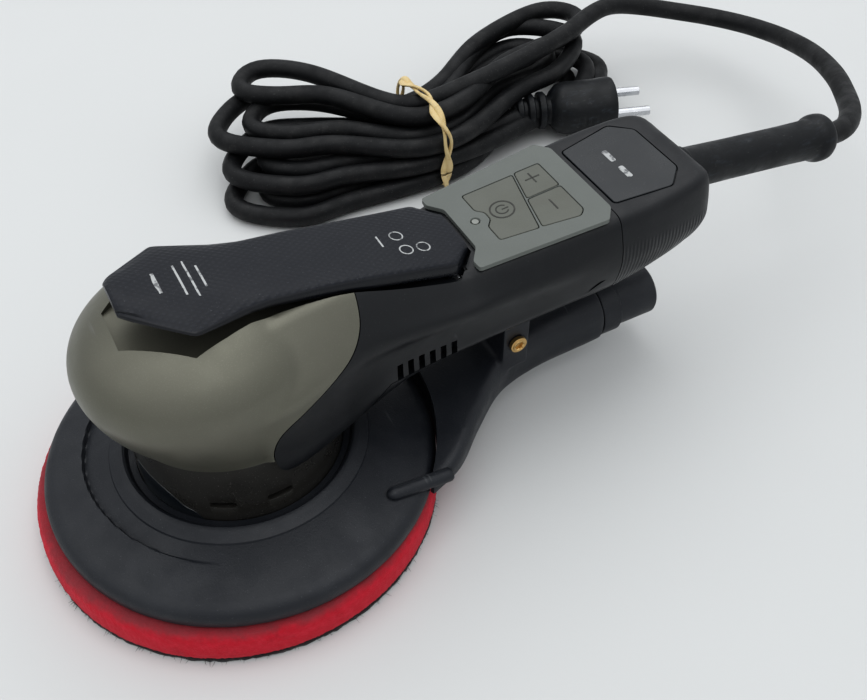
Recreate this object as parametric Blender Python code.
"""Dual action polisher: a corded random-orbit machine with a dust shroud.

Every length below is in millimetres and is turned into metres when a mesh
is made.  The pad rests on z = 0 with its centre at the origin, the handle
runs towards +X, and the motor axis stands MOTOR_X in front of the pad axis.
"""
import math

import bmesh
import bpy
from mathutils import Matrix, Vector

MM = 0.001
GAP = 0.3                      # clearance that mating pieces keep

# ---- driving dimensions (mm) -------------------------------------------
PAD_DIAMETER = 150.0
ORBIT = 5.0                    # full stroke of the pad's orbit
MOTOR_X = ORBIT / 2            # motor axis, seen from the pad axis
HOOK_TOP = 1.6
FOAM_TOP = 15.0
PLATE_RADIUS = PAD_DIAMETER / 2 - 9.0
PLATE_BOTTOM = 10.3
HUB_TOP = 18.0
STUD_RADIUS = 4.0              # M8 stud
SHROUD_RADIUS = PAD_DIAMETER / 2 - 2.5
SHROUD_BOTTOM = 16.3
SHROUD_HOLE = 41.4
COLLAR_RADIUS = 38.0
COLLAR_TOP = 56.7
WALL = 2.5                     # housing wall
MOTOR_BEARING_BORE = 6.0       # radius of the shaft in the lower bearing
MOTOR_BEARING_OUTER = 14.0
TOP_BEARING_BORE = 4.0
TOP_BEARING_OUTER = 11.0
STATOR_RADIUS = 33.0
STATOR_BOTTOM = 54.0
STATOR_TOP = 77.5
WINDING_TOP = 81.2
TEETH = 9
DECK_X = 92.0                  # where the sloping deck is DECK_Z high
DECK_Z = 88.8
DECK_SLOPE = math.tan(math.radians(5.0))
GRIP_END = 146.0
TAIL_LENGTH = 44.0
TAIL_END = GRIP_END + TAIL_LENGTH
HINGE_X = 84.0
HINGE_Z = 84.8
PADDLE_FRONT = -28.0
PADDLE_TRAVEL = 8.0            # drop of the paddle's front edge
PADDLE_REACH = 4.0             # finger room left under the pressed front edge
PADDLE_ROOM = 1.2              # clearance between the paddle and its well
SWING_ROOM = 1.6               # more in front, where the pressed paddle swings forward
PIN_RADIUS = 1.5
PIN_REACH = 18.3               # half the pin's length, blind in the shell under the paddle
SWITCH_X = 56.0
SWITCH_TOP = 84.0
SPIGOT_RADIUS = 11.5
SPIGOT_Z = 22.0
SPIGOT_END = TAIL_END - 4.0
SLEEVE_TILT = 7.35             # degrees, nose down
SLEEVE_X = TAIL_END - 2.0
SLEEVE_Z = 81.8
SLEEVE_LENGTH = 84.0           # outside the tail
CORD_DIAMETER = 9.5
CLAMP_X = GRIP_END + 16.0      # the cord clamp inside the tail
CLAMP_Z = 81.0
TAIL_WALL = WALL + 0.5
HANK_HEIGHT = 36.0
FAR = 80.0                     # half-width of a cutter that reaches past the part
ABOVE = 125.0                  # height of a cutter that reaches past the part
BARREL_RADIUS = 3.4            # the paddle's hinge barrel
BARREL_REACH = 16.2            # half its length
PLUNGER_RADIUS = 2.2
VENTS = 6                      # on each side of the handle
VENT_X = 55.0
VENT_PITCH = 4.4
VENT_WIDTH = 2.3
SCREW_X = 110.0                # the screw that holds the dust duct to the handle
SCREW_Z = 42.0
SCREW_RADIUS = 2.6
POST_REACH = 19.0              # half-width of the duct's post
SLEEVE_NECK = 7.0              # radius of the sleeve where it passes the tail's wall


# ---- helpers ------------------------------------------------------------
def clear_scene():
    for item in list(bpy.data.objects):
        bpy.data.objects.remove(item, do_unlink=True)


def material(name, colour, roughness, metallic=0.0):
    made = bpy.data.materials.new(name)
    made.use_nodes = True
    made.diffuse_color = (*colour, 1.0)
    shader = made.node_tree.nodes["Principled BSDF"]
    shader.inputs["Base Color"].default_value = (*colour, 1.0)
    shader.inputs["Roughness"].default_value = roughness
    shader.inputs["Metallic"].default_value = metallic
    return made


def add_mesh(name, points, faces, mat, smooth=False, flat=False):
    """One mesh object from points in millimetres, facing outwards.

    flat splits every face into triangles, which keeps later cuts clean.
    """
    mesh = bpy.data.meshes.new(name)
    mesh.from_pydata([Vector(p) * MM for p in points], [], faces)
    work = bmesh.new()
    work.from_mesh(mesh)
    bmesh.ops.recalc_face_normals(work, faces=work.faces)
    for face in work.faces:
        face.smooth = smooth and len(face.verts) <= 4
    if flat:
        bmesh.ops.triangulate(work, faces=work.faces)
    work.to_mesh(mesh)
    work.free()
    mesh.materials.append(mat)
    item = bpy.data.objects.new(name, mesh)
    bpy.context.collection.objects.link(item)
    return item


def stacked(name, rings, mat, smooth=False, flat=False):
    """A closed skin through rings that have the same number of points."""
    count = len(rings[0])
    points = [p for ring in rings for p in ring]
    faces = [tuple(range(count))]
    faces.append(tuple(range(len(points) - count, len(points))))
    for row in range(len(rings) - 1):
        low, high = row * count, (row + 1) * count
        for i in range(count):
            j = (i + 1) % count
            faces.append((low + i, low + j, high + j, high + i))
    return add_mesh(name, points, faces, mat, smooth, flat)


def hooped(name, rings, mat, smooth=False):
    """Rings joined to each other and the last to the first: a closed hoop."""
    count = len(rings[0])
    points = [p for ring in rings for p in ring]
    faces = []
    for row in range(len(rings)):
        low, high = row * count, (row + 1) % len(rings) * count
        for i in range(count):
            j = (i + 1) % count
            faces.append((low + i, low + j, high + j, high + i))
    return add_mesh(name, points, faces, mat, smooth)


def turned(name, profile, mat, x=0.0, y=0.0, steps=40, smooth=True):
    """A solid of revolution: profile is a closed list of (radius, height)."""
    points, rows = [], []
    for radius, height in profile:
        if radius == 0:
            points.append((x, y, height))
            rows.append([len(points) - 1] * steps)
            continue
        row = []
        for i in range(steps):
            turn = math.tau * i / steps
            spot = (x + radius * math.cos(turn), y + radius * math.sin(turn))
            points.append((*spot, height))
            row.append(len(points) - 1)
        rows.append(row)
    faces = []
    for a, b in zip(rows, rows[1:] + rows[:1]):
        if a[0] == a[1] and b[0] == b[1]:
            continue
        for i in range(steps):
            j = (i + 1) % steps
            corners = [a[i], a[j], b[j], b[i]]
            faces.append(tuple(dict.fromkeys(corners)))
    return add_mesh(name, points, faces, mat, smooth)


def ring(name, inner, outer, bottom, top, mat, x=0.0, steps=40):
    profile = [(inner, bottom), (outer, bottom), (outer, top), (inner, top)]
    return turned(name, profile, mat, x=x, steps=steps, smooth=False)


def disc(name, radius, bottom, top, mat, x=0.0, y=0.0, steps=40):
    profile = [(0, bottom), (radius, bottom), (radius, top), (0, top)]
    return turned(name, profile, mat, x=x, y=y, steps=steps, smooth=False)


def prism(name, outline, bottom, top, mat):
    rings = [[(x, y, z) for x, y in outline] for z in (bottom, top)]
    return stacked(name, rings, mat)


def side_prism(name, outline, y_low, y_high, mat):
    """A side-view outline of (x, z) carried across from y_low to y_high."""
    rings = [[(x, y, z) for x, z in outline] for y in (y_low, y_high)]
    return stacked(name, rings, mat)


def box(name, low, high, mat):
    outline = [(low[0], low[1]), (high[0], low[1]), (high[0], high[1]), (low[0], high[1])]
    return prism(name, outline, low[2], high[2], mat)


def rod(name, start, end, radius, mat, steps=20, end_radius=None):
    """A straight round bar between two points, tapered if end_radius is given."""
    start, end = Vector(start), Vector(end)
    turn = (end - start).to_track_quat("Z", "Y")
    rings = []
    for centre, size in ((start, radius), (end, end_radius or radius)):
        row = []
        for i in range(steps):
            angle = math.tau * i / steps
            spot = Vector((size * math.cos(angle), size * math.sin(angle), 0))
            row.append(tuple(centre + turn @ spot))
        rings.append(row)
    return stacked(name, rings, mat, smooth=True)


def joined(name, items, mat):
    """Separate closed pieces kept in one mesh, used only as a tool."""
    work = bmesh.new()
    for item in items:
        work.from_mesh(item.data)
        bpy.data.objects.remove(item, do_unlink=True)
    mesh = bpy.data.meshes.new(name)
    work.to_mesh(mesh)
    work.free()
    mesh.materials.append(mat)
    made = bpy.data.objects.new(name, mesh)
    bpy.context.collection.objects.link(made)
    return made


def tool(item):
    """Keep an object out of the part: it only cuts or fills another one."""
    item.hide_render = True
    item.display_type = "WIRE"
    return item


def combine(item, other, operation):
    tool(other)
    step = item.modifiers.new(other.name, "BOOLEAN")
    step.operation = operation
    step.solver = "EXACT"
    step.object = other
    return item


def cut(item, other):
    return combine(item, other, "DIFFERENCE")


def fuse(item, other):
    return combine(item, other, "UNION")


def keep(item, other):
    return combine(item, other, "INTERSECT")


def grown(outline, amount):
    """An outline moved outwards along its corners' bisectors."""
    made = []
    for i, point in enumerate(outline):
        here = Vector(point)
        back = (here - Vector(outline[i - 1])).normalized()
        ahead = (Vector(outline[(i + 1) % len(outline)]) - here).normalized()
        normal = Vector((back.y + ahead.y, -back.x - ahead.x)).normalized()
        lean = max(0.4, normal.dot(Vector((ahead.y, -ahead.x))))
        made.append(tuple(here + normal * amount / lean))
    return made


def mirrored(half):
    """A closed outline from its -Y half, listed front to rear."""
    return half + [(x, -y) for x, y in reversed(half)]


def arc(centre, radius, start, end, steps):
    """Points on a circle, angles in degrees."""
    made = []
    for i in range(steps + 1):
        turn = math.radians(start + (end - start) * i / steps)
        made.append((centre[0] + radius * math.cos(turn), centre[1] + radius * math.sin(turn)))
    return made


def deck(x, lift=0.0):
    """Height of the sloping top of the handle."""
    return DECK_Z + (x - DECK_X) * DECK_SLOPE + lift


def deck_plate(name, outline, low, high, mat):
    """A plate that lies along the sloping deck, low to high above it."""
    rings = [[(x, y, deck(x, lift)) for x, y in outline] for lift in (low, high)]
    return stacked(name, rings, mat)


def curve_points(route, count):
    """Evenly spaced points on a smooth curve through the route's points."""
    padded = [route[0]] + list(route) + [route[-1]]
    dense = []
    for i in range(1, len(padded) - 2):
        p0, p1, p2, p3 = [Vector(p) for p in padded[i - 1:i + 3]]
        for k in range(24):
            t = k / 24
            dense.append(0.5 * ((2 * p1) + (p2 - p0) * t + (2 * p0 - 5 * p1 + 4 * p2 - p3) * t ** 2
                                + (3 * p1 - p0 - 3 * p2 + p3) * t ** 3))
    dense.append(Vector(route[-1]))
    run = [0.0]
    for a, b in zip(dense, dense[1:]):
        run.append(run[-1] + (b - a).length)
    made, k = [], 0
    for i in range(count):
        want = run[-1] * i / (count - 1)
        while k < len(run) - 2 and run[k + 1] < want:
            k += 1
        share = (want - run[k]) / max(run[k + 1] - run[k], 1e-9)
        made.append(dense[k].lerp(dense[k + 1], min(share, 1.0)))
    return made


def tube(name, route, diameter, count, mat, sides=3):
    data = bpy.data.curves.new(name, "CURVE")
    data.dimensions = "3D"
    data.bevel_depth = diameter / 2 * MM
    data.bevel_resolution = sides
    data.use_fill_caps = True
    spots = curve_points(route, count)
    spline = data.splines.new("POLY")
    spline.points.add(len(spots) - 1)
    for point, spot in zip(spline.points, spots):
        point.co = (*(spot * MM), 1.0)
    data.materials.append(mat)
    item = bpy.data.objects.new(name, data)
    bpy.context.collection.objects.link(item)
    return item


# ---- sanding and polishing pad ------------------------------------------
def build_pad(mats):
    radius = PAD_DIAMETER / 2
    foam_low = HOOK_TOP + GAP
    disc("hook_face", radius - 0.4, 0.0, HOOK_TOP, mats["hook"], steps=56)
    pocket = PLATE_BOTTOM - GAP
    turned("pad_foam", [(0, foam_low), (radius, foam_low), (radius + 0.2, 8.0),
                        (radius - 0.2, 13.2), (radius - 1.6, FOAM_TOP),
                        (PLATE_RADIUS + GAP, FOAM_TOP), (PLATE_RADIUS + GAP, pocket), (0, pocket)],
           mats["foam"], steps=56)
    bore = STUD_RADIUS + GAP
    head = 9.0
    turned("pad_plate", [(head + GAP, PLATE_BOTTOM), (PLATE_RADIUS, PLATE_BOTTOM),
                         (PLATE_RADIUS, FOAM_TOP - 1.0), (PLATE_RADIUS - 1.0, FOAM_TOP),
                         (14.0, FOAM_TOP), (14.0, HUB_TOP), (bore, HUB_TOP), (bore, 12.8),
                         (head + GAP, 12.8)], mats["plate"], steps=48)
    turned("pad_stud", [(0, 10.5), (head, 10.5), (head, 12.5), (STUD_RADIUS, 12.5),
                        (STUD_RADIUS, 27.0), (0, 27.0)], mats["steel"], steps=24)
    turned("pad_spindle", [(bore, HUB_TOP + GAP), (11.0, HUB_TOP + GAP), (11.0, 19.7),
                           (MOTOR_BEARING_BORE, 19.7), (MOTOR_BEARING_BORE, 30.4),
                           (0, 30.4), (0, 28.0), (bore, 28.0)], mats["steel"], steps=28)


def build_bearing(name, bore, outer, bottom, top, x, mats):
    """A ball bearing: two rings and the cage between them."""
    step = (outer - bore) / 3
    inner_edge, outer_edge = bore + step * 0.85, outer - step * 0.85
    ring(name + "_inner", bore + GAP, inner_edge, bottom, top, mats["bearing"], x, 24)
    ring(name + "_outer", outer_edge, outer, bottom, top, mats["bearing"], x, 24)
    middle, swell = (bottom + top) / 2, (outer_edge - inner_edge) / 2 - GAP
    centre = (inner_edge + outer_edge) / 2
    profile = arc((centre, middle), swell, 0, 300, 5)
    turned(name + "_cage", profile, mats["brass"], x=x, steps=20)


# ---- rotor ---------------------------------------------------------------
def build_rotor(mats):
    x = MOTOR_X
    shaft = 5.0
    build_bearing("pad_bearing", MOTOR_BEARING_BORE, MOTOR_BEARING_OUTER, 20.2, 29.8, 0.0, mats)
    carrier = turned("eccentric_carrier",
                     [(0, 19.5), (17.5, 19.5), (19.0, 21.0), (19.0, 34.0), (shaft + GAP, 34.0),
                      (shaft + GAP, 31.0), (0, 31.0)], mats["cast"], x=x)
    cut(carrier, disc("bearing_pocket", MOTOR_BEARING_OUTER + GAP, 18.0, 31.2, mats["cast"]))
    outline = arc((x, 0), 28.0, -65, 65, 14) + arc((x, 0), 19.0 + GAP, 65, -65, 14)
    prism("counterweight", outline, 20.5, 26.8, mats["brass"])
    fan = ring("dust_fan", shaft + GAP, 34.0, 34.3, 36.3, mats["fan"], x, 36)
    blades = []
    for i in range(TEETH):
        turn = math.tau * i / TEETH
        blade = box("blade", (21.0, -0.8, 28.0), (33.2, 0.8, 35.3), mats["fan"])
        blade.data.transform(Matrix.Translation((x * MM, 0, 0)) @ Matrix.Rotation(turn, 4, "Z"))
        blades.append(blade)
    fuse(fan, joined("fan_blades", blades, mats["fan"]))
    turned("rotor_shaft", [(0, 31.5), (shaft, 31.5), (shaft, 39.5), (MOTOR_BEARING_BORE, 39.5),
                           (MOTOR_BEARING_BORE, 48.0), (shaft, 48.0), (shaft, 81.2),
                           (TOP_BEARING_BORE, 81.2), (TOP_BEARING_BORE, 89.0), (0, 89.0)],
           mats["steel"], x=x, steps=24)
    ring("rotor_core", shaft + GAP, 11.7, STATOR_BOTTOM, STATOR_TOP, mats["core"], x, 32)
    ring("rotor_magnet", 12.0, 17.5, STATOR_BOTTOM, STATOR_TOP, mats["magnet"], x, 32)
    build_bearing("lower_bearing", MOTOR_BEARING_BORE, MOTOR_BEARING_OUTER, 40.0, 48.0, x, mats)
    build_bearing("upper_bearing", TOP_BEARING_BORE, TOP_BEARING_OUTER, 81.6, 88.2, x, mats)


# ---- motor ---------------------------------------------------------------
def build_stator(mats):
    x = MOTOR_X
    pitch = 360.0 / TEETH
    outer, inner = [], []
    for i in range(TEETH):
        for angle, radius in ((-8.5, 19.2), (8.5, 19.2), (9.5, 28.0), (pitch - 9.5, 28.0)):
            turn = math.radians(i * pitch + angle)
            inner.append((x + radius * math.cos(turn), radius * math.sin(turn)))
            outer.append((x + STATOR_RADIUS * math.cos(turn), STATOR_RADIUS * math.sin(turn)))
    rings = [[(*p, z) for p in outline] for outline, z in
             ((outer, STATOR_BOTTOM), (outer, STATOR_TOP), (inner, STATOR_TOP), (inner, STATOR_BOTTOM))]
    hooped("stator_core", rings, mats["core"])
    winding = ring("stator_winding", 20.5, 31.0, STATOR_TOP + GAP, WINDING_TOP, mats["copper"], x, 36)
    lower = ring("winding_foot", 20.5, 31.0, 50.6, STATOR_BOTTOM - GAP, mats["copper"], x, 36)
    fuse(winding, lower)
    coils = []
    for i in range(TEETH):
        middle = (i + 0.5) * pitch
        outline = arc((x, 0), 27.4, middle - 9, middle + 9, 3)
        outline += arc((x, 0), 20.9, middle + 9, middle - 9, 3)
        coils.append(prism("coil", outline, 52.0, 79.5, mats["copper"]))
    fuse(winding, joined("winding_sides", coils, mats["copper"]))
    turned("bearing_flange", [(17.5, 38.5), (17.5, 46.0), (COLLAR_RADIUS - WALL - GAP, 46.0),
                              (COLLAR_RADIUS - WALL - GAP, 50.0), (9.0, 50.0), (9.0, 48.3),
                              (MOTOR_BEARING_OUTER + GAP, 48.3), (MOTOR_BEARING_OUTER + GAP, 38.5)],
           mats["cast"], x=x)
    turned("motor_cap", [(TOP_BEARING_OUTER + GAP, 81.6), (32.0, 81.6), (32.0, 84.0), (13.6, 84.0),
                         (13.6, 89.2), (TOP_BEARING_OUTER + GAP, 89.2)], mats["board"], x=x)


# ---- housing -------------------------------------------------------------
# Rings of the round motor dome: height, centre x, half-length, half-width.
DOME = [(46.0, 2.5, 38.0, 38.0), (57.0, 2.0, 38.6, 38.5), (62.0, 0.0, 40.0, 39.3),
        (68.0, -2.5, 41.6, 40.2), (74.0, -4.2, 42.3, 40.6), (80.0, -5.0, 42.5, 40.5),
        (86.0, -5.0, 41.3, 39.3), (92.0, -5.0, 37.3, 35.5), (97.0, -5.0, 31.2, 29.7),
        (101.0, -5.0, 23.1, 22.0), (104.0, -5.0, 11.9, 11.3)]

# Sections of the handle: x, half-width at the top, middle and bottom edge,
# then the heights of those three.
HANDLE = [(2.5, 25.0, 40.2, 39.9, 97.5, 76.0, 46.5),
          (15.0, 23.5, 38.8, 38.6, 98.8, 76.0, 46.5), (30.0, 21.5, 34.5, 33.8, 98.8, 76.0, 47.0),
          (45.0, 19.7, 30.5, 29.0, 97.3, 76.0, 48.5), (58.0, 19.3, 29.2, 27.5, 93.8, 75.0, 53.0),
          (72.0, 19.6, 28.6, 27.0, 90.2, 74.0, 55.5), (86.0, 21.0, 28.4, 26.8, 87.3, 73.5, 56.5),
          (93.0, 22.3, 28.6, 26.8, deck(93.0), 74.0, 57.0), (120.0, 24.4, 29.3, 27.0, deck(120.0), 75.0, 58.5),
          (GRIP_END, 26.4, 30.0, 27.5, deck(GRIP_END), 77.0, 60.0)]

TAIL = [(GRIP_END + GAP, 26.4, 30.0, 27.5, deck(GRIP_END + GAP), 77.0, 60.0),
        (CLAMP_X, 26.8, 29.6, 26.8, deck(CLAMP_X), 78.5, 62.5),
        (TAIL_END - 7.0, 24.6, 27.4, 24.0, deck(TAIL_END - 7.0), 80.0, 66.5),
        (TAIL_END, 20.5, 22.5, 19.5, deck(TAIL_END, -3.0), 80.5, 70.5)]


def section(row, inset=0.0):
    """One ring of a handle section, inset all round for the inside."""
    x, top, middle, bottom, z_top, z_middle, z_bottom = row
    top, middle, bottom = top - inset, middle - inset, bottom - inset
    z_top, z_bottom = z_top - inset, z_bottom + inset
    shoulder = z_top - 2.0
    half = [(0.55 * top, z_top), (top - 2.4, z_top - 0.25), (top - 0.4, shoulder),
            (top + (middle - top) * 0.5, shoulder + (z_middle - shoulder) * 0.38),
            (middle - 0.3, z_middle + 3.5), (middle, z_middle - 2.0),
            (middle + (bottom - middle) * 0.6, z_bottom + (z_middle - z_bottom) * 0.4),
            (bottom, z_bottom + 4.0), (bottom - 1.4, z_bottom + 1.2), (bottom - 4.5, z_bottom)]
    return [(x, -y, z) for y, z in half] + [(x, y, z) for y, z in reversed(half)]


def dome_body(name, inset, mat, steps=40):
    rings = []
    for z, x, length, width in DOME:
        height = z if z < 80.0 else 80.0 + (z - 80.0) * (25.0 - inset) / 25.0
        rings.append([(x + (length - inset) * math.cos(math.tau * i / steps),
                       (width - inset) * math.sin(math.tau * i / steps), height)
                      for i in range(steps)])
    return stacked(name, rings, mat, smooth=True, flat=True)


def handle_body(name, inset, mat, rows=None):
    return stacked(name, [section(row, inset) for row in (rows or HANDLE)], mat, smooth=True, flat=True)


# The paddle's outline, front to rear, and the height of its top.
PADDLE = [(PADDLE_FRONT, -8.7, 115.4), (-18.5, -16.0, 112.9), (-9.0, -23.0, 110.6), (0.0, -20.4, 108.9),
          (9.0, -17.6, 107.3), (18.0, -16.2, 105.6), (44.0, -16.6, 100.8), (70.0, -17.6, 95.8),
          (HINGE_X, -18.4, 93.1), (92.0, -10.3, 91.6)]


def well_floor(x, drop=0.0):
    return 98.0 - 0.105 * (x + 30.0) - drop


def paddle_low(x):
    """Underside of the paddle at rest, clear of the well when it is pressed."""
    share = max(0.0, HINGE_X - x) / (HINGE_X - PADDLE_FRONT)
    return well_floor(x) + 2 * GAP + (PADDLE_TRAVEL + PADDLE_REACH) * share


def paddle_well(name, margin, drop, mat):
    widest = min(PADDLE, key=lambda row: row[1])[0]
    half = [(x - SWING_ROOM if x <= widest else x, y) for x, y, z in PADDLE]
    outline = grown(mirrored(half), margin)
    rings = [[(x, y, well_floor(x, drop)) for x, y in outline], [(x, y, ABOVE) for x, y in outline]]
    return stacked(name, rings, mat)


# Side views (x, z) of the joint lines between the shells.
PARTING = [(46.0, 112.0), (45.3, 100.0), (44.7, 94.0), (43.2, 88.6), (40.2, 84.6), (36.2, 81.6),
           (31.0, 79.2), (24.7, 76.6), (18.6, 74.3), (14.0, 72.4), (9.6, 70.2), (6.4, 67.6),
           (4.4, 64.4), (3.5, 60.8), (3.6, COLLAR_TOP + GAP)]
LOBE = [(4.4, 53.8), (6.2, 50.6), (9.0, 48.0), (13.0, 46.0)]
SPLIT = [(44.0, 45.0), (44.0, 52.0), (52.0, 57.6), (GRIP_END, 62.9)]


def hinge_line(reach):
    """Two ends of a line along the paddle's hinge."""
    return (HINGE_X, -reach, HINGE_Z), (HINGE_X, reach, HINGE_Z)


def shell_body(name, mat):
    """The outside of dome and handle together, less their inside."""
    body = handle_body(name, 0.0, mat)
    fuse(body, bpy.data.objects["dome_outside"])
    return cut(body, bpy.data.objects["inside_space"])


def build_housing_tools(mats):
    mat = mats["black"]
    tool(dome_body("dome_outside", 0.0, mat))
    inside = tool(handle_body("inside_space", WALL, mat, HANDLE[:-1] + [(GRIP_END + 3.0, *HANDLE[-1][1:])]))
    fuse(inside, dome_body("dome_inside", WALL, mat))
    cut(inside, paddle_well("well_lining", PADDLE_ROOM + WALL, WALL, mat))
    tool(paddle_well("paddle_well", PADDLE_ROOM, 0.0, mat))
    bore = COLLAR_RADIUS + GAP
    tool(disc("collar_room", bore, 30.0, COLLAR_TOP + GAP, mat, x=MOTOR_X, steps=56))


def build_housing(mats):
    tools = bpy.data.objects
    # lower housing: the collar round the gearbox, with air slots
    collar = ring("lower_housing", COLLAR_RADIUS - WALL, COLLAR_RADIUS, 24.0, COLLAR_TOP, mats["collar"],
                  MOTOR_X, 56)
    slots = []
    for turn in (-118, -88, 88, 118):
        slot = box("slot", (COLLAR_RADIUS - 6, -4.2, 35.4), (COLLAR_RADIUS + 4, 4.2, 38.8), mats["collar"])
        turning = Matrix.Rotation(math.radians(turn), 4, "Z")
        slot.data.transform(Matrix.Translation((MOTOR_X * MM, 0, 0)) @ turning)
        slots.append(slot)
    cut(collar, joined("collar_slots", slots, mats["collar"]))

    # motor dome: everything in front of the parting line, above the collar
    dome = shell_body("dome_cover", mats["dome"])
    front = PARTING + [(-80.0, COLLAR_TOP + GAP), (-80.0, PARTING[0][1])]
    keep(dome, side_prism("dome_zone", [(x - GAP / 2, z + GAP / 2) for x, z in front], -FAR, FAR, mats["dome"]))
    cut(dome, tools["collar_room"])
    cut(dome, tools["paddle_well"])

    # upper shell of the handle, with the comb of vents in its lower edge
    upper = shell_body("handle_upper_shell", mats["black"])
    zone = [(x + GAP / 2, z - GAP / 2) for x, z in PARTING + LOBE]
    zone += [(SPLIT[0][0], LOBE[-1][1])] + [(x, z + GAP / 2) for x, z in SPLIT[1:]]
    zone.append((GRIP_END, PARTING[0][1]))
    keep(upper, side_prism("upper_zone", zone, -FAR, FAR, mats["black"]))
    cut(upper, tools["collar_room"])
    cut(upper, tools["paddle_well"])
    vents = []
    for i in range(VENTS):
        x = VENT_X + VENT_PITCH * i
        for side in (-1, 1):
            low, high = sorted((side * 24.0, side * 34.0))
            vents.append(box("vent", (x, low, 50.0), (x + VENT_WIDTH, high, 65.0), mats["black"]))
    cut(upper, joined("vent_comb", vents, mats["black"]))
    around, across = BARREL_RADIUS + 0.8, BARREL_REACH + 1.0
    cut(upper, box("hinge_room", (HINGE_X - around, -across, 78.0), (HINGE_X + around, across, 95.0), mats["black"]))
    cut(upper, rod("hinge_bore", *hinge_line(PIN_REACH + GAP), PIN_RADIUS + GAP, mats["black"]))
    cut(upper, disc("spring_hole", 6.0, 80.0, 100.0, mats["black"], x=SWITCH_X, steps=24))

    # lower shell of the handle
    lower = shell_body("handle_lower_shell", mats["black"])
    below = [(min(x + GAP, GRIP_END), z - GAP / 2) for x, z in SPLIT] + [(GRIP_END, SPLIT[0][1])]
    keep(lower, side_prism("lower_zone", below, -FAR, FAR, mats["black"]))
    cut(lower, tools["collar_room"])


def build_tail(mats):
    tail = handle_body("tail_housing", 0.0, mats["black"], TAIL)
    inner = [(GRIP_END - 4.0, *TAIL[0][1:])] + TAIL[:2] + [(TAIL_END - 3.0, *TAIL[2][1:])]
    cut(tail, handle_body("tail_inside", TAIL_WALL, mats["black"], inner))
    cut(tail, sleeve_rod("sleeve_bore", -8.0, 8.0, SLEEVE_NECK + GAP, mats["black"]))
    half = [(GRIP_END + 3.0, -17.5), (TAIL_END - 18.0, -21.0), (TAIL_END - 10.5, -13.5)]
    badge = mirrored(half)
    cut(tail, deck_plate("badge_recess", grown(badge, GAP), -1.2, 4.0, mats["black"]))
    deck_plate("badge_plate", badge, -0.9, 0.5, mats["badge"])


# ---- keypad --------------------------------------------------------------
POWER_KEY = [(103.6, -13.2), (118.2, -15.4), (121.6, -0.3), (125.0, 14.4), (103.6, 14.4),
             (103.6, 5.0), (106.2, 2.2), (106.2, -2.2), (103.6, -5.0)]
PLUS_KEY = [(122.9, 0.4), (136.6, 0.4), (136.6, 14.9), (126.2, 14.9)]
MINUS_KEY = [(119.6, -15.4), (134.0, -18.0), (136.6, -15.6), (136.6, -0.4), (122.7, -0.4)]
LED_X = 101.0


def build_keypad(mats):
    half = [(94.6, -11.6), (90.2, -17.4), (90.6, -21.6)]
    outline = mirrored(half + [(GRIP_END - 4.8, -25.4), (GRIP_END - 0.6, -20.0)])
    panel = deck_plate("keypad_panel", outline, GAP, 2.1, mats["keypad"])
    for name, key in (("key_power", POWER_KEY), ("key_plus", PLUS_KEY), ("key_minus", MINUS_KEY)):
        room = deck_plate(name + "_room", grown(key, GAP), -3.0, 5.0, mats["keypad"])
        cut(panel, room)
        deck_plate(name, key, 1.0, 2.1, mats["keypad"])
    cut(panel, disc("led_room", 1.3 + GAP, 80.0, 100.0, mats["keypad"], x=LED_X, steps=16))
    disc("status_led", 1.3, deck(LED_X, 0.5), deck(LED_X, 1.9), mats["led"], x=LED_X, steps=16)
    board = [(98.0, -15.5), (142.0, -15.5), (142.0, 15.5), (98.0, 15.5)]
    deck_plate("keypad_board", board, -WALL - 2.1, -WALL - 0.5, mats["board"])


# ---- paddle and switch -----------------------------------------------------
def build_paddle(mats):
    rings = []
    for x, y, z in PADDLE:
        low, width = paddle_low(x), abs(y)
        half = [(width - 1.6, low), (width - 0.3, low + 0.9), (width, (low + z) / 2 + 0.4),
                (width - 0.6, z - 0.8), (width - 1.8, z)]
        rings.append([(x, -w, h) for w, h in half] + [(x, w, h) for w, h in reversed(half)])
    paddle = stacked("paddle_lever", rings, mats["paddle"])
    barrel = rod("paddle_barrel", *hinge_line(BARREL_REACH), BARREL_RADIUS, mats["paddle"])
    fuse(paddle, barrel)
    bore = PIN_RADIUS + GAP
    cut(paddle, rod("paddle_bore", *hinge_line(2 * BARREL_REACH), bore, mats["paddle"]))
    rod("paddle_pin", *hinge_line(PIN_REACH), PIN_RADIUS, mats["steel"])


def build_switch(mats):
    top = SWITCH_TOP
    body = box("switch_body", (SWITCH_X - 10, -11.0, 61.5), (SWITCH_X + 10, 11.0, top), mats["board"])
    radius = PLUNGER_RADIUS
    cut(body, disc("plunger_bore", radius + GAP, 72.0, top + 2, mats["board"], x=SWITCH_X, steps=20))
    under = paddle_low(SWITCH_X + radius) - GAP - 0.1
    disc("switch_plunger", radius, 75.5, under, mats["white"], x=SWITCH_X, steps=20)
    turns, wire, coil = 3, 0.5, 4.0
    low, high = top + GAP + wire, paddle_low(SWITCH_X + coil + wire) - GAP - wire
    route = []
    for i in range(turns * 12 + 1):
        turn = math.tau * i / 12
        height = low + (high - low) * i / (turns * 12)
        route.append((SWITCH_X + coil * math.cos(turn), coil * math.sin(turn), height))
    tube("paddle_spring", route, 2 * wire, len(route), mats["steel"], sides=1)


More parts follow.
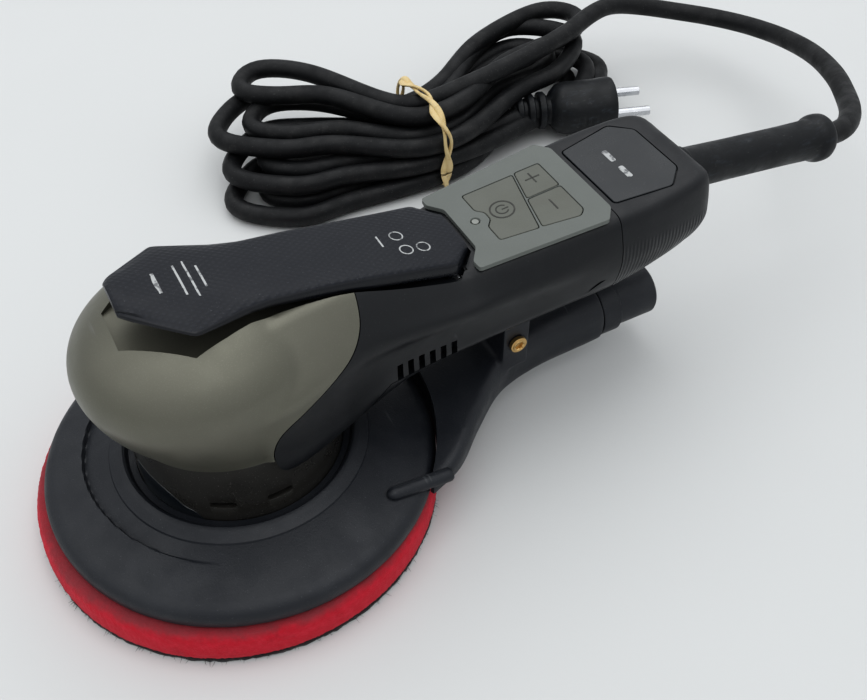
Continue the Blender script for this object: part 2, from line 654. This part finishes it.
# ---- electronics -----------------------------------------------------------
def build_electronics(mats):
    box("control_board", (72.0, -22.5, 65.6), (GRIP_END - 3.0, 22.5, 67.4), mats["green"])
    rod("capacitor", (98.0, 0, 75.4), (122.0, 0, 75.4), 7.4, mats["capacitor"])
    fins = [(-15.0, 67.8), (15.0, 67.8)]
    for i in range(6):
        y = 15.0 - 5.52 * i
        fins += [(y, 79.0), (y - 2.4, 79.0)]
        if i < 5:
            fins += [(y - 2.4, 71.0), (y - 5.52, 71.0)]
    rings = [[(x, y, z) for y, z in fins] for x in (126.0, 140.0)]
    stacked("heat_sink", rings, mats["aluminium"])


# ---- shroud and dust duct --------------------------------------------------
def build_shroud(mats):
    x, r = MOTOR_X, SHROUD_RADIUS
    outer = [(r, SHROUD_BOTTOM), (r + 0.3, 19.0), (r - 0.2, 21.8), (r - 1.6, 23.9), (r - 4.0, 25.0),
             (r - 12.5, 26.6), (COLLAR_RADIUS + 9.0, 28.8), (44.6, 30.6), (42.6, 31.2), (SHROUD_HOLE, 30.6),
             (SHROUD_HOLE - 0.2, 28.6), (COLLAR_RADIUS + GAP, 28.2)]
    inner = [(COLLAR_RADIUS + GAP, 25.6), (COLLAR_RADIUS + 8.0, 25.9), (r - 12.5, 24.0), (r - 4.8, 22.4), (r - 2.6, 20.6),
             (r - 2.2, 18.6), (r - 2.0, SHROUD_BOTTOM)]
    shroud = turned("shroud_ring", outer + inner, mats["shroud"], x=x, steps=56)
    cut(shroud, box("suction_window", (r - 17.5, -24.0, 17.6), (r + 17.5, 24.0, 21.6), mats["shroud"]))
    turned("brake_ring", [(33.0, 15.6), (35.0, 15.4), (37.7, 18.0), (37.7, 23.7), (35.5, 23.7), (34.6, 18.4)],
           mats["rubber"], x=x, steps=40)


# Sections of the duct: x, half-width, bottom, top and corner size.
DUCT = [(SHROUD_RADIUS - 16.5, 52.0, 16.4, 24.0, 3.0), (70.0, 47.0, 16.4, 28.6, 4.5), (86.0, 33.5, 15.4, 31.0, 5.0),
        (104.0, 20.0, 13.0, 33.0, 6.0), (124.0, 14.0, 10.6, 34.0, 7.5),
        (150.0, SPIGOT_RADIUS + 1.5, SPIGOT_Z - SPIGOT_RADIUS - 1.5, SPIGOT_Z + SPIGOT_RADIUS + 1.5, 10.5),
        (158.0, SPIGOT_RADIUS + 1.4, SPIGOT_Z - SPIGOT_RADIUS - 1.4, SPIGOT_Z + SPIGOT_RADIUS + 1.4, 11.0)]


def duct_section(row, inset):
    x, width, low, high, corner = row
    width, low, high = width - inset, low + inset, high - inset
    corner = max(corner - inset, 1.0)
    made = []
    for y_side, z_side, start in ((1, -1, -90), (1, 1, 0), (-1, 1, 90), (-1, -1, 180)):
        y = y_side * (width - corner)
        z = (low + corner) if z_side < 0 else (high - corner)
        made += [(x, a, b) for a, b in arc((y, z), corner, start, start + 90, 3)]
    return made


def screw_rod(name, start, end, radius, mat):
    return rod(name, (SCREW_X, start, SCREW_Z), (SCREW_X, end, SCREW_Z), radius, mat)


def build_duct(mats):
    duct = stacked("dust_duct", [duct_section(row, 0.0) for row in DUCT], mats["shroud"], smooth=True, flat=True)
    post = box("duct_post", (SCREW_X - 6.0, -POST_REACH, 28.0), (SCREW_X + 6.0, POST_REACH, 54.0), mats["shroud"])
    fuse(duct, post)
    rows = [(DUCT[0][0] - 6.0, *DUCT[0][1:])] + DUCT[:-1] + [(DUCT[-1][0] + 4.0, *DUCT[-1][1:])]
    cut(duct, stacked("duct_inside", [duct_section(row, 2.0) for row in rows], mats["shroud"], flat=True))
    cut(duct, disc("shroud_room", SHROUD_RADIUS + 0.3 + GAP, 0.0, 60.0, mats["shroud"], x=MOTOR_X, steps=64))
    cut(duct, screw_rod("screw_bore", -30.0, -8.0, SCREW_RADIUS + GAP, mats["shroud"]))
    screw = screw_rod("duct_screw", -POST_REACH - 2.4, -9.0, SCREW_RADIUS, mats["brass"])
    head = screw_rod("screw_head", -POST_REACH - 2.6, -POST_REACH - GAP, 4.4, mats["brass"])
    fuse(screw, head)
    r, z = SPIGOT_RADIUS, SPIGOT_Z
    start = DUCT[-1][0] + GAP
    spigot = rod("hose_spigot", (start, 0, z), (SPIGOT_END, 0, z), r, mats["shroud"], steps=36)
    collar = rod("spigot_step", (start, 0, z), (start + 9.0, 0, z), r + 1.3, mats["shroud"], steps=36)
    fuse(spigot, collar)
    cut(spigot, rod("spigot_bore", (start - 5, 0, z), (SPIGOT_END + 5, 0, z), r - 2.2, mats["shroud"], steps=36))


# ---- cord ------------------------------------------------------------------
def on_sleeve(along, across=0.0, up=0.0):
    """A point measured along the sleeve's sloping axis from the tail."""
    tilt = math.radians(SLEEVE_TILT)
    x = SLEEVE_X + along * math.cos(tilt) + up * math.sin(tilt)
    z = SLEEVE_Z - along * math.sin(tilt) + up * math.cos(tilt)
    return (x, across, z)


def sleeve_rod(name, start, end, radius, mat):
    return rod(name, on_sleeve(start), on_sleeve(end), radius, mat, steps=24)


def sleeve_turned(name, profile, mat, steps=24):
    """A piece turned about the sleeve's axis from (along, radius) points."""
    rings = []
    for along, radius in profile:
        rings.append([on_sleeve(along, radius * math.cos(math.tau * i / steps),
                                radius * math.sin(math.tau * i / steps)) for i in range(steps)])
    return stacked(name, rings, mat, smooth=True)


# The free stretch of cord, from the sleeve's end down on to the hank.
LEAD_ROUTE = [on_sleeve(SLEEVE_LENGTH + 2 * GAP), on_sleeve(SLEEVE_LENGTH + 8.0),
              (290.0, 3.4, 68.2), (302.5, 13.0, 65.6), (316.0, 29.0, 61.5), (331.0, 50.0, 56.0),
              (344.0, 76.0, 49.5), (352.0, 104.0, 42.0), (353.0, 131.0, 35.5), (346.0, 154.0, 31.5),
              (331.0, 170.0, 31.5), (312.0, 178.0, 35.5), (292.0, 179.0, 40.5), (274.0, 173.5, 41.7),
              (256.0, 165.0, 41.7)]

# The hank seen from above: a bow tie whose right half leaves room for the plug.
HANK_OUTLINE = [(62.0, 160.0), (63.0, 148.0), (72.0, 137.0), (88.0, 131.0), (110.0, 127.0),
                (135.0, 124.5), (153.0, 123.0), (163.0, 123.0), (180.0, 117.0), (204.0, 109.0),
                (228.0, 105.0), (242.0, 105.5), (246.0, 109.5), (240.0, 114.0), (204.4, 131.5),
                (215.0, 163.0), (252.0, 151.5), (272.0, 146.5), (284.0, 152.0), (290.0, 168.0),
                (289.0, 187.0), (281.0, 202.0), (268.0, 208.0), (250.0, 205.0), (230.0, 194.0),
                (208.0, 182.0), (184.0, 175.0), (163.0, 173.0), (153.0, 173.0), (140.0, 187.0),
                (122.0, 206.0), (104.0, 217.0), (88.0, 217.0), (75.0, 206.0), (66.0, 186.0)]

PLUG_START = (210.0, 147.0, 15.2)
PLUG_TURN = -18.5              # degrees from +X, seen from above
PLUG_NECK = 22.0               # length of the ribbed strain relief
PLUG_LENGTH = 55.0
PIN_LENGTH = 18.0


def on_plug(along, across=0.0, up=0.0):
    turn = math.radians(PLUG_TURN)
    x = PLUG_START[0] + along * math.cos(turn) - across * math.sin(turn)
    y = PLUG_START[1] + along * math.sin(turn) + across * math.cos(turn)
    return (x, y, PLUG_START[2] + up)


def build_plug(mats):
    """A moulded mains plug: ribbed neck, round body with a grip, two pins."""
    profile = [(0.0, 6.6)]
    for i in range(3):
        start = 2.0 + 6.0 * i
        profile += [(start, 7.0), (start + 0.6, 8.6 + 0.6 * i), (start + 3.6, 8.8 + 0.6 * i), (start + 4.2, 7.2)]
    profile += [(PLUG_NECK, 10.5), (PLUG_NECK + 6.0, 14.0), (PLUG_LENGTH - 2.0, 14.6), (PLUG_LENGTH, 13.4)]
    steps = 24
    rings = []
    for along, radius in profile:
        rings.append([on_plug(along, radius * math.cos(math.tau * i / steps),
                              radius * math.sin(math.tau * i / steps)) for i in range(steps)])
    stacked("cord_plug", rings, mats["rubber"], smooth=True)
    for name, across in (("plug_pin_left", 9.5), ("plug_pin_right", -9.5)):
        start = on_plug(PLUG_LENGTH + GAP, across)
        rod(name, start, on_plug(PLUG_LENGTH + PIN_LENGTH, across), 2.4, mats["steel"], steps=12)


def build_cord(mats):
    neck = SLEEVE_NECK
    profile = [(-5.6, 10.5), (-3.6, 10.5), (-3.6, neck), (4.6, neck), (4.6, 9.4), (6.5, 9.4), (7.5, 8.4),
               (40.0, 8.3), (76.0, 8.5), (78.0, 10.0), (82.0, 10.0), (SLEEVE_LENGTH, 8.8)]
    sleeve_turned("cord_sleeve", profile, mats["rubber"])
    start, end = (GRIP_END + 5.0, 0, CLAMP_Z), (TAIL_END - 11.0, 0, CLAMP_Z)
    rod("cord_inner", start, end, CORD_DIAMETER / 2, mats["cord"])
    low = TAIL[1][6] + TAIL_WALL + 0.9
    clamp = box("cord_clamp", (CLAMP_X - 4.0, -13.0, low), (CLAMP_X + 4.0, 13.0, 88.0), mats["board"])
    cut(clamp, rod("clamp_bore", start, end, CORD_DIAMETER / 2 + GAP, mats["board"]))
    screws = []
    for name, y in (("clamp_screw_left", 9.4), ("clamp_screw_right", -9.4)):
        screws.append(disc(name + "_room", 1.6 + GAP, 74.0, 92.0, mats["board"], x=CLAMP_X, y=y, steps=16))
        turned(name, [(0, 76.0), (1.6, 76.0), (1.6, 88.3), (3.0, 88.3), (3.0, 90.2), (0, 90.2)],
               mats["steel"], x=CLAMP_X, y=y, steps=16)
    cut(clamp, joined("clamp_screw_rooms", screws, mats["board"]))
    tube("cord_lead", LEAD_ROUTE, CORD_DIAMETER, 24, mats["cord"], sides=3)
    hank_low = 1.6
    prism("cord_hank", HANK_OUTLINE, hank_low, HANK_HEIGHT, mats["cord"])


def build_band(mats):
    """The rubber band is a flat loop round the hank's waist."""
    x, low, high = 158.0, 0.0, HANK_HEIGHT + 1.6
    near, far = 123.0 - 0.9, 173.0 + 0.9
    outer = [(near - 1.2, low + 2.0), (near + 1.0, low), (far - 1.0, low), (far + 1.2, low + 2.0),
             (far + 1.2, high - 2.0), (far - 1.0, high), (near + 1.0, high), (near - 1.2, high - 2.0)]
    inner = [(near, low + 2.2), (near + 1.2, low + 1.2), (far - 1.2, low + 1.2), (far, low + 2.2),
             (far, high - 2.2), (far - 1.2, high - 1.2), (near + 1.2, high - 1.2), (near, high - 2.2)]
    rings = [[(a, y, z) for y, z in outline] for outline, a in
             ((outer, x - 2.4), (outer, x + 2.4), (inner, x + 2.4), (inner, x - 2.4))]
    hooped("rubber_band", rings, mats["band"])


def build_all():
    clear_scene()
    mats = {
        "hook": material("hook_fabric", (0.02, 0.02, 0.022), 0.95),
        "foam": material("red_foam", (0.45, 0.012, 0.035), 0.9),
        "plate": material("pad_plastic", (0.06, 0.06, 0.065), 0.5),
        "steel": material("steel", (0.55, 0.56, 0.58), 0.3, 1.0),
        "bearing": material("bearing_steel", (0.6, 0.61, 0.63), 0.2, 1.0),
        "brass": material("brass", (0.6, 0.42, 0.2), 0.35, 1.0),
        "cast": material("cast_aluminium", (0.45, 0.46, 0.47), 0.5, 1.0),
        "fan": material("fan_plastic", (0.08, 0.08, 0.09), 0.45),
        "core": material("electrical_steel", (0.3, 0.3, 0.32), 0.45, 1.0),
        "magnet": material("magnet", (0.12, 0.12, 0.13), 0.4, 0.6),
        "copper": material("copper_wire", (0.62, 0.26, 0.12), 0.35, 1.0),
        "board": material("filled_nylon", (0.05, 0.05, 0.055), 0.55),
        "green": material("circuit_board", (0.02, 0.14, 0.06), 0.5),
        "capacitor": material("capacitor_sleeve", (0.03, 0.05, 0.16), 0.4),
        "aluminium": material("aluminium", (0.6, 0.61, 0.63), 0.35, 1.0),
        "dome": material("dome_grey", (0.085, 0.085, 0.075), 0.42, 0.25),
        "collar": material("collar_grey", (0.045, 0.043, 0.042), 0.4, 0.1),
        "black": material("housing_black", (0.02, 0.021, 0.024), 0.42),
        "badge": material("badge_black", (0.015, 0.018, 0.025), 0.35),
        "keypad": material("keypad_grey", (0.16, 0.165, 0.15), 0.6),
        "led": material("led_lens", (0.3, 0.32, 0.3), 0.3),
        "paddle": material("paddle_black", (0.022, 0.024, 0.032), 0.5),
        "white": material("white_nylon", (0.7, 0.7, 0.68), 0.5),
        "shroud": material("shroud_black", (0.02, 0.022, 0.026), 0.6),
        "rubber": material("rubber", (0.022, 0.022, 0.024), 0.7),
        "cord": material("cord_rubber", (0.016, 0.016, 0.018), 0.6),
        "band": material("natural_rubber", (0.72, 0.6, 0.36), 0.55),
    }
    build_pad(mats)
    build_rotor(mats)
    build_stator(mats)
    build_housing_tools(mats)
    build_housing(mats)
    build_tail(mats)
    build_keypad(mats)
    build_paddle(mats)
    build_switch(mats)
    build_electronics(mats)
    build_shroud(mats)
    build_duct(mats)
    build_cord(mats)
    build_plug(mats)
    build_band(mats)


build_all()
